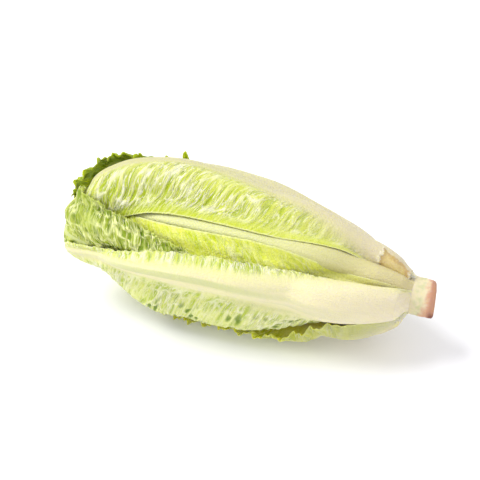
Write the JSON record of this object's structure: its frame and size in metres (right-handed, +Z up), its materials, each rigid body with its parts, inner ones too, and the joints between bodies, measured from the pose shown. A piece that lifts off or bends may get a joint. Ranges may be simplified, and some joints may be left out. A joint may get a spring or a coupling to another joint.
{
  "type": "romaine lettuce heart",
  "caption": "Head of romaine lettuce trimmed to its heart, lying on its side: ribbed leaves wrapped over one another round a cut stem.",
  "frame": {"origin": "centre of the bottom of the bounding box, on the surface that the head lies on", "axes": "+X along the head towards the cut end of the stem, +Z up, -Y towards the side that the front leaf is on"},
  "size_m": [0.2106, 0.0926, 0.0865],
  "materials": {
    "stem": "cut stem, moist and slightly browned",
    "leaf_01_back": "fresh leaf: cool, waxy, slightly translucent, with a pale ribbed midrib",
    "leaf_02_under": "fresh leaf: cool, waxy, slightly translucent, with a pale ribbed midrib",
    "leaf_03_front": "fresh leaf: cool, waxy, slightly translucent, with a pale ribbed midrib",
    "leaf_04_front_tip": "fresh leaf: cool, waxy, slightly translucent, with a pale ribbed midrib",
    "leaf_05_top": "fresh leaf: cool, waxy, slightly translucent, with a pale ribbed midrib",
    "leaf_06_band": "fresh leaf: cool, waxy, slightly translucent, with a pale ribbed midrib",
    "leaf_07_far_side": "fresh leaf: cool, waxy, slightly translucent, with a pale ribbed midrib",
    "leaf_08_ridge": "fresh leaf: cool, waxy, slightly translucent, with a pale ribbed midrib",
    "leaf_09_gap": "fresh leaf: cool, waxy, slightly translucent, with a pale ribbed midrib",
    "leaf_10_low": "fresh leaf: cool, waxy, slightly translucent, with a pale ribbed midrib",
    "leaf_11_heart": "fresh leaf: cool, waxy, slightly translucent, with a pale ribbed midrib",
    "leaf_12_heart": "fresh leaf: cool, waxy, slightly translucent, with a pale ribbed midrib",
    "leaf_13_heart": "fresh leaf: cool, waxy, slightly translucent, with a pale ribbed midrib",
    "leaf_14_heart": "fresh leaf: cool, waxy, slightly translucent, with a pale ribbed midrib",
    "leaf_15_heart": "fresh leaf: cool, waxy, slightly translucent, with a pale ribbed midrib",
    "leaf_16_heart": "fresh leaf: cool, waxy, slightly translucent, with a pale ribbed midrib",
    "leaf_17_heart": "fresh leaf: cool, waxy, slightly translucent, with a pale ribbed midrib"
  },
  "bodies": {
    "root": {"stem": "stem", "leaf_01_back": "leaf_01_back", "leaf_02_under": "leaf_02_under", "leaf_03_front": "leaf_03_front", "leaf_04_front_tip": "leaf_04_front_tip", "leaf_05_top": "leaf_05_top", "leaf_06_band": "leaf_06_band", "leaf_07_far_side": "leaf_07_far_side", "leaf_08_ridge": "leaf_08_ridge", "leaf_09_gap": "leaf_09_gap", "leaf_10_low": "leaf_10_low", "leaf_11_heart": "leaf_11_heart", "leaf_12_heart": "leaf_12_heart", "leaf_13_heart": "leaf_13_heart", "leaf_14_heart": "leaf_14_heart", "leaf_15_heart": "leaf_15_heart", "leaf_16_heart": "leaf_16_heart", "leaf_17_heart": "leaf_17_heart"}
  },
  "joints": []
}
